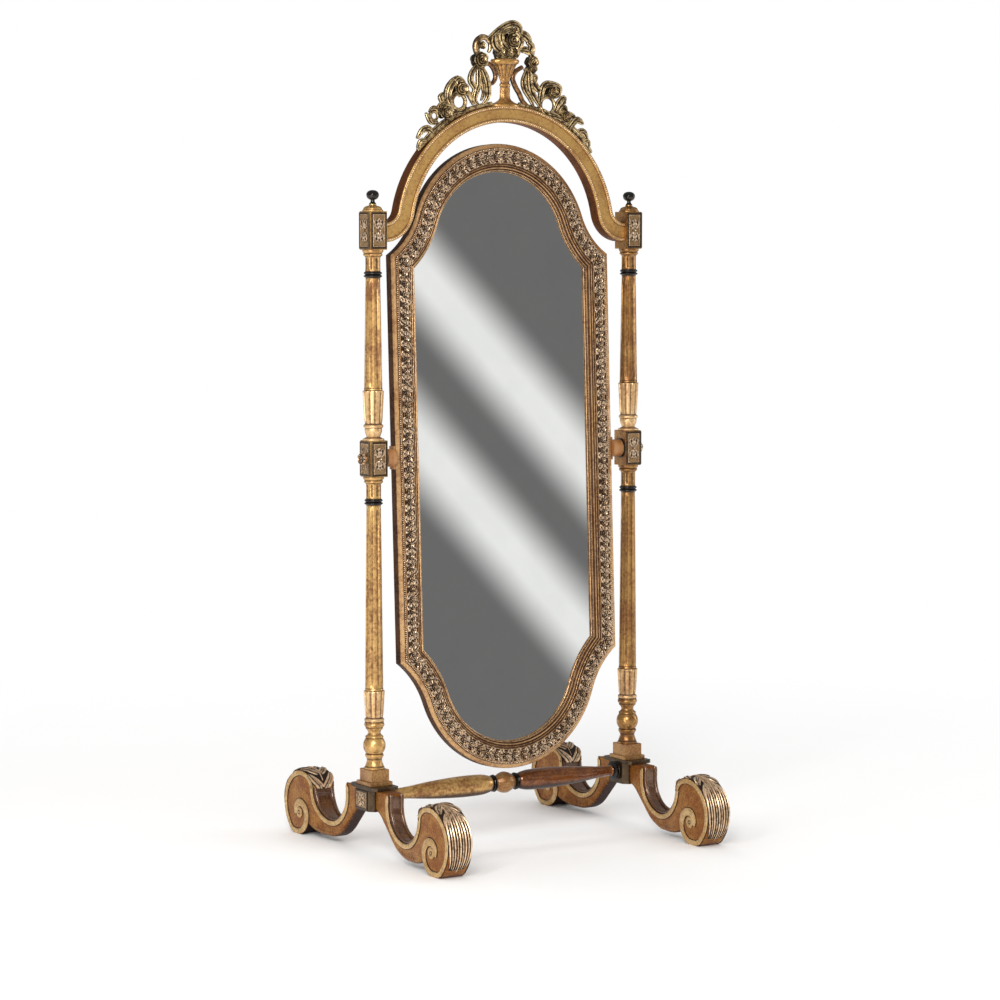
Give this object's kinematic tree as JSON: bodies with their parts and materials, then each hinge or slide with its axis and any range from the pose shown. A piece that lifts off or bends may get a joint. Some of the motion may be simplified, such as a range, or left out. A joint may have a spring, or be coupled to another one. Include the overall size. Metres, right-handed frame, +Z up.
{
  "type": "cheval floor mirror",
  "caption": "Free-standing dressing mirror: an ogee-shaped gilt frame that tilts between two turned posts on scrolled feet, under an arch with a carved crest.",
  "frame": {"origin": "on the floor, midway between the two feet and on the posts' line", "axes": "+X across the mirror to the viewer's right, -Y the front, +Z up"},
  "size_m": [0.825, 0.784, 1.993],
  "materials": {
    "post_gold": "turned hardwood, antique gold over brown bole, satin lacquer",
    "block_bronze": "dark bronze-gold lacquered wood, satin",
    "foot_brown": "carved hardwood in orange-brown gold, glossy lacquer",
    "ebonised": "ebonised turned wood, high gloss",
    "carving_gold": "carved and gilded, champagne gold on the high points, brown in the hollows",
    "arch_gold": "flat ochre gold leaf on the front, red-brown on the edges, satin",
    "frame_gold": "gilded moulding, gold on the ridges, dark brown on the outer edge",
    "slip_brown": "dark red-brown lacquer with a thin gold arris",
    "mirror_silver": "silvered flat glass",
    "back_wood": "plain plywood, unfinished",
    "steel": "plain steel",
    "brass": "dull brass",
    "boss_wood": "plain tan wood, waxed"
  },
  "bodies": {
    "stand": {"left_finial_ball": "ebonised", "left_finial_cap": "post_gold", "left_top_block": "block_bronze", "left_upper_column": "post_gold", "left_upper_ring": "ebonised", "left_upper_cup": "post_gold", "left_pivot_block": "block_bronze", "left_lower_column": "post_gold", "left_lower_ring": "ebonised", "left_lower_cup": "post_gold", "left_ball_turning": "post_gold", "left_base_block": "post_gold", "left_block_panels": "carving_gold", "left_foot_hub": "foot_brown", "left_foot_plaque": "carving_gold", "left_front_leg": "foot_brown", "left_rear_leg": "foot_brown", "left_stretcher_spindle": "foot_brown", "left_crest_spray": "carving_gold", "right_finial_ball": "ebonised", "right_finial_cap": "post_gold", "right_top_block": "block_bronze", "right_upper_column": "post_gold", "right_upper_ring": "ebonised", "right_upper_cup": "post_gold", "right_pivot_block": "block_bronze", "right_lower_column": "post_gold", "right_lower_ring": "ebonised", "right_lower_cup": "post_gold", "right_ball_turning": "post_gold", "right_base_block": "post_gold", "right_block_panels": "carving_gold", "right_foot_hub": "foot_brown", "right_foot_plaque": "carving_gold", "right_front_leg": "foot_brown", "right_rear_leg": "foot_brown", "right_stretcher_spindle": "foot_brown", "right_crest_spray": "carving_gold", "pivot_washers": "ebonised", "post_rods": "steel", "foot_bolts": "steel", "stretcher_ball": "carving_gold", "stretcher_rings": "ebonised", "arch_rail": "arch_gold", "arch_beads": "carving_gold", "crest_urn": "carving_gold", "crest_bouquet": "carving_gold"},
    "mirror": {"left_trunnion": "boss_wood", "right_trunnion": "boss_wood", "frame_moulding": "frame_gold", "floral_band": "carving_gold", "sight_slip": "slip_brown", "mirror_glass": "mirror_silver", "backing_board": "back_wood", "turn_buttons": "brass"},
    "left_knob": {"left_pivot_bolt": "steel", "left_clamp_knob": "carving_gold"},
    "right_knob": {"right_pivot_bolt": "steel", "right_clamp_knob": "carving_gold"}
  },
  "joints": [
    {"name": "mirror_tilt", "type": "hinge", "parent": "stand", "child": "mirror", "pos_m": [0, 0, 0.9526], "axis": [1, 0, 0], "range_deg": [-87.5, 92.5]},
    {"name": "left_knob_turn", "type": "hinge", "parent": "stand", "child": "left_knob", "pos_m": [-0.39, 0, 0.9526], "axis": [-1, 0, 0], "range_deg": [0, 360]},
    {"name": "right_knob_turn", "type": "hinge", "parent": "stand", "child": "right_knob", "pos_m": [0.39, 0, 0.9526], "axis": [1, 0, 0], "range_deg": [0, 360]}
  ]
}
